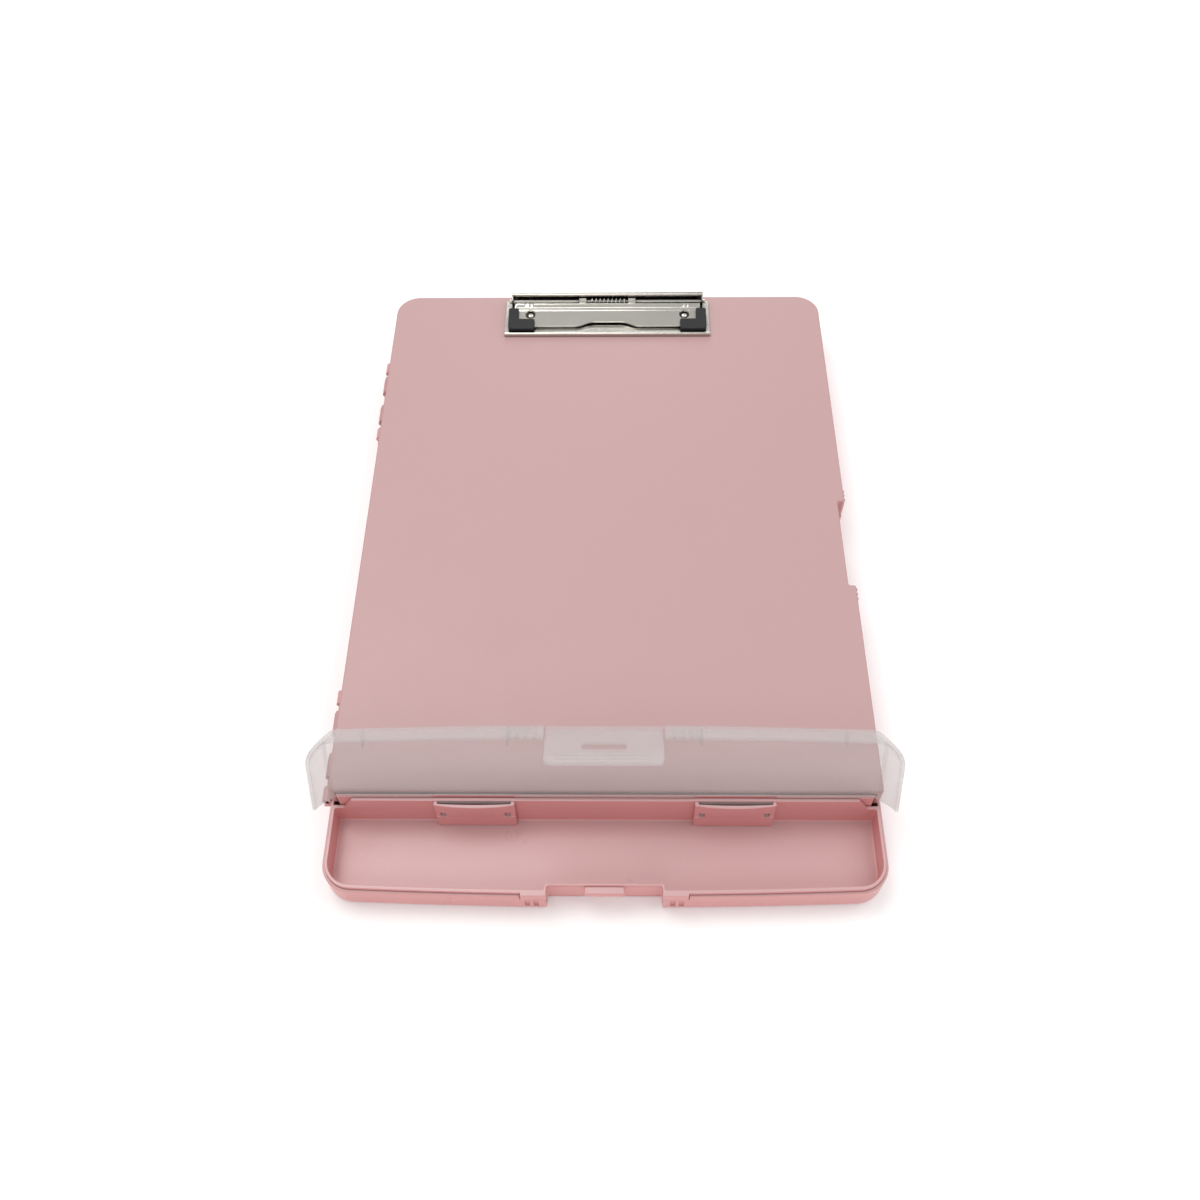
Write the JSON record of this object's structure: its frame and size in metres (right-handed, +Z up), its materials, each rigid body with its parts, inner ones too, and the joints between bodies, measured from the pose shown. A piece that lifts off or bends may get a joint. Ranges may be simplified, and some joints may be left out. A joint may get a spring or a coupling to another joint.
{
  "type": "storage clipboard",
  "caption": "A4 storage clipboard: writing board hinged over a paper case, low-profile spring clip, pen tray with a flip-up clear lid.",
  "frame": {"origin": "middle of the underside, the flat face that the case rests on", "axes": "+Z up out of the writing board, +Y along the board towards the clip, +X to the writer's right"},
  "size_m": [0.2453, 0.3454, 0.0689],
  "materials": {
    "board_plastic": "dusty pink moulded plastic with a fine matt texture",
    "case_plastic": "pink moulded plastic, satin",
    "clear_plastic": "frosted translucent polypropylene",
    "steel": "bright plated sheet steel",
    "guard_plastic": "black satin plastic"
  },
  "bodies": {
    "case": {"storage_base": "case_plastic", "case_hinge_pin_lower": "steel", "case_hinge_pin_upper": "steel"},
    "cover": {"writing_board": "board_plastic", "pen_tray": "case_plastic", "lid_bracket_left": "case_plastic", "lid_bracket_right": "case_plastic", "lid_hinge_strap_left": "clear_plastic", "lid_hinge_strap_right": "clear_plastic", "clip_base_plate": "steel", "clip_hinge_rod": "steel", "clip_torsion_spring": "steel", "clip_rivet_left": "steel", "clip_rivet_right": "steel", "rivet_washer_left": "steel", "rivet_washer_right": "steel"},
    "lid": {"pen_lid": "clear_plastic"},
    "jaw": {"clip_jaw": "steel", "clip_corner_guard_left": "guard_plastic", "clip_corner_guard_right": "guard_plastic"}
  },
  "joints": [
    {"name": "case_hinge", "type": "hinge", "parent": "case", "child": "cover", "pos_m": [-0.1209, 0, 0.01465], "axis": [0, -1, 0], "range_deg": [0, 180]},
    {"name": "pen_lid_hinge", "type": "hinge", "parent": "cover", "child": "lid", "pos_m": [0, -0.1333, 0.0254], "axis": [1, 0, 0], "range_deg": [0, 117]},
    {"name": "clip_jaw_hinge", "type": "hinge", "parent": "cover", "child": "jaw", "pos_m": [0, 0.1625, 0.0321], "axis": [-1, 0, 0], "range_deg": [0, 45], "stiffness_Nm_per_rad": 0.15, "springref_deg": -57.3, "deforming": ["clip_torsion_spring"]}
  ]
}
